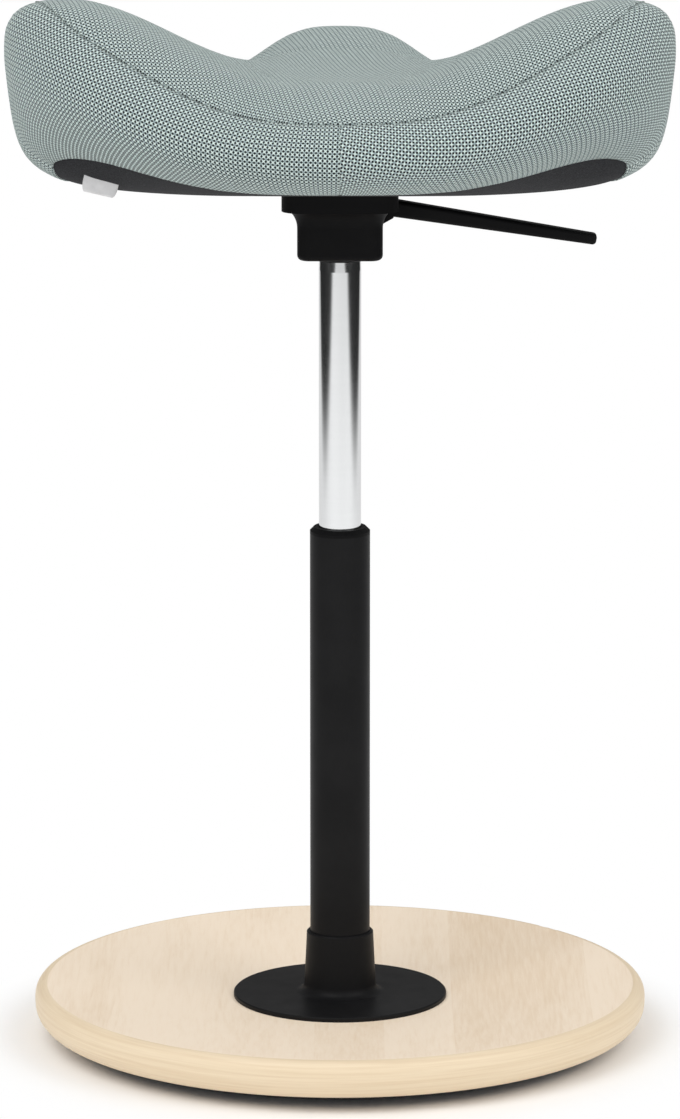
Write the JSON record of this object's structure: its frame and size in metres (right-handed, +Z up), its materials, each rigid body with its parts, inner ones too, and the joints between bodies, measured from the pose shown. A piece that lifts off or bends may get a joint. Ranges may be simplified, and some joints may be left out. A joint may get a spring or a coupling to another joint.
{
  "type": "perch stool",
  "caption": "Perch stool with a padded saddle seat, gas-lift column with side lever and a round wooden tilting base.",
  "frame": {"origin": "on the floor, under the middle of the round base", "axes": "+Z up along the column, +Y towards the pommel at the seat's front, +X towards the height lever"},
  "size_m": [0.4326, 0.41, 0.7056],
  "materials": {
    "ash_wood": "pale clear-lacquered ash veneer, satin",
    "sole_rubber": "matte black rubber",
    "black_steel": "satin black powder coat",
    "black_plastic": "fine-grained black moulded plastic",
    "guide_plastic": "natural sliding plastic",
    "cylinder_chrome": "polished chrome plate",
    "rod_steel": "ground bright steel",
    "zinc_steel": "zinc-plated steel",
    "mechanism_steel": "black stoved steel",
    "valve_brass": "machined brass",
    "seal_rubber": "black rubber",
    "shell_ply": "moulded plywood, unfinished",
    "seat_foam": "moulded seat foam",
    "seat_cloth": "grey-green two-tone basket weave",
    "liner_cloth": "charcoal felted lining",
    "tab_ribbon": "pale woven ribbon, bare"
  },
  "bodies": {
    "base": {"base_disc": "ash_wood", "rubber_sole": "sole_rubber", "column_flange": "black_steel", "flange_washers": "zinc_steel", "flange_nuts": "zinc_steel", "outer_tube": "black_steel", "tube_end_plate": "zinc_steel", "tube_cap": "black_plastic", "guide_bush": "guide_plastic", "bearing_lower_race": "rod_steel", "bearing_rollers": "rod_steel", "bearing_cage": "guide_plastic"},
    "rod": {"piston_rod": "rod_steel", "bearing_upper_race": "rod_steel", "bump_stop": "seal_rubber", "rod_clip": "zinc_steel", "rod_clip_washer": "zinc_steel", "piston": "zinc_steel", "piston_seal": "seal_rubber"},
    "seat": {"gas_cylinder": "cylinder_chrome", "rod_guide": "guide_plastic", "pressure_tube": "rod_steel", "valve_body": "valve_brass", "cylinder_socket": "mechanism_steel", "mechanism_plate": "mechanism_steel", "mechanism_cover": "black_plastic", "cover_ring": "black_plastic", "lever_pivot_pin": "rod_steel", "pivot_clips": "zinc_steel", "seat_bolts": "zinc_steel", "seat_bolt_washers": "zinc_steel", "tee_nuts": "zinc_steel", "seat_shell": "shell_ply", "seat_foam": "seat_foam", "underside_liner": "liner_cloth", "cover_top_panel": "seat_cloth", "cover_left_band": "seat_cloth", "cover_right_band": "seat_cloth", "ribbon_tab": "tab_ribbon"},
    "lever": {"lever_arm": "black_plastic"},
    "valve": {"valve_pin": "rod_steel"}
  },
  "joints": [
    {"name": "seat_swivel", "type": "hinge", "parent": "base", "child": "rod", "pos_m": [0, 0, 0.3], "axis": [0, 0, 1], "continuous": true},
    {"name": "height_slide", "type": "slide", "parent": "rod", "child": "seat", "axis": [0, 0, 1], "range_m": [-0.13, 0.12]},
    {"name": "lever_lift", "type": "hinge", "parent": "seat", "child": "lever", "pos_m": [0.026, 0, 0.5627], "axis": [0, -1, 0], "range_deg": [0, 8], "stiffness_Nm_per_rad": 6, "springref_deg": -2.86},
    {"name": "valve_press", "type": "slide", "parent": "seat", "child": "valve", "axis": [0, 0, -1], "range_m": [0, 0.0038]}
  ],
  "couplings": [
    {"joint": "valve_press", "follows": "lever_lift", "m_per_rad": 0.026}
  ]
}
